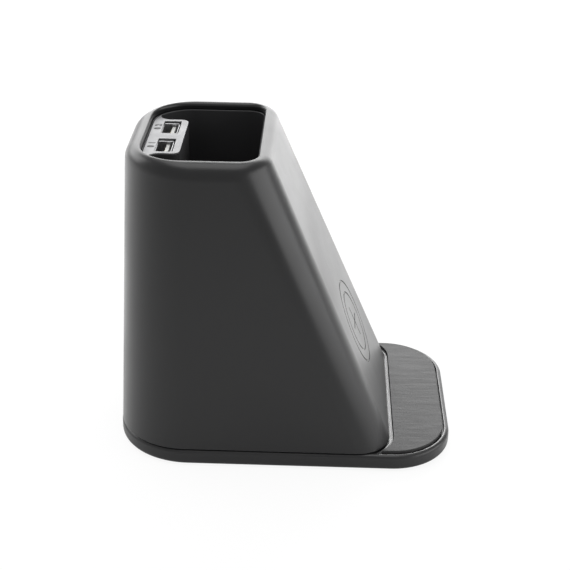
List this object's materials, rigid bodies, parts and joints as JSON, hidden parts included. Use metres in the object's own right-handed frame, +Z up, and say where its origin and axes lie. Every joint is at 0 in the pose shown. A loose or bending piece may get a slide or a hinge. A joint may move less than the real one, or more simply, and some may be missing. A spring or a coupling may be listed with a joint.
{
  "type": "wireless charger pen holder",
  "caption": "Wedge-shaped desk pen cup with a sloping charging rest and rubber ledge for a phone, and upward power sockets at the back of the cup.",
  "frame": {"origin": "on the desk, under the middle of the object's bounding box", "axes": "+Z up; -Y towards the front, where the phone ledge and the sloping rest are; +X to the user's right-hand side seen from the front"},
  "size_m": [0.09, 0.13, 0.12],
  "materials": {
    "soft_touch_black": "fine satin, soft-touch paint",
    "cup_black": "moulded, fine texture",
    "base_black": "satin moulded",
    "cover_black": "moulded, fine spark texture",
    "pad_rubber": "matte, faintly grained",
    "silver_paint": "satin silver paint on plastic",
    "bright_steel": "bright plated",
    "white_plastic": "moulded",
    "contact_gold": "gold plated",
    "board_green": "solder mask",
    "chip_black": "moulded",
    "ferrite_grey": "sintered, matte",
    "coil_copper": "enamelled copper wire",
    "lead_black": "insulation sleeve",
    "foot_rubber": "matte"
  },
  "bodies": {
    "root": {"base_tray": "base_black", "board_screw_front_left": "bright_steel", "board_screw_front_right": "bright_steel", "board_screw_rear_left": "bright_steel", "board_screw_rear_right": "bright_steel", "bottom_cover": "cover_black", "carrier_screw_lower_left": "bright_steel", "carrier_screw_lower_right": "bright_steel", "carrier_screw_upper_left": "bright_steel", "carrier_screw_upper_right": "bright_steel", "case_screw_front_left": "bright_steel", "case_screw_front_right": "bright_steel", "case_screw_rear_left": "bright_steel", "case_screw_rear_right": "bright_steel", "charger_board": "board_green", "charging_coil": "coil_copper", "coil_carrier": "chip_black", "coil_lead": "lead_black", "coil_lead_header": "white_plastic", "driver_chip": "chip_black", "ferrite_sheet": "ferrite_grey", "filter_capacitor": "bright_steel", "inlet_shell": "bright_steel", "inlet_tongue": "chip_black", "ledge_pad": "pad_rubber", "outer_shell": "soft_touch_black", "pen_cup": "cup_black", "power_inductor": "ferrite_grey", "rubber_foot_front_left": "foot_rubber", "rubber_foot_front_right": "foot_rubber", "rubber_foot_rear_left": "foot_rubber", "rubber_foot_rear_right": "foot_rubber", "socket_board": "board_green", "socket_board_screw_front": "bright_steel", "socket_board_screw_rear": "bright_steel", "socket_contact_left_1": "contact_gold", "socket_contact_left_2": "contact_gold", "socket_contact_left_3": "contact_gold", "socket_contact_left_4": "contact_gold", "socket_contact_right_1": "contact_gold", "socket_contact_right_2": "contact_gold", "socket_contact_right_3": "contact_gold", "socket_contact_right_4": "contact_gold", "socket_lead": "lead_black", "socket_lead_header": "white_plastic", "socket_plate": "silver_paint", "socket_shell_left": "bright_steel", "socket_shell_right": "bright_steel", "socket_tongue_left": "white_plastic", "socket_tongue_right": "white_plastic"}
  },
  "joints": []
}
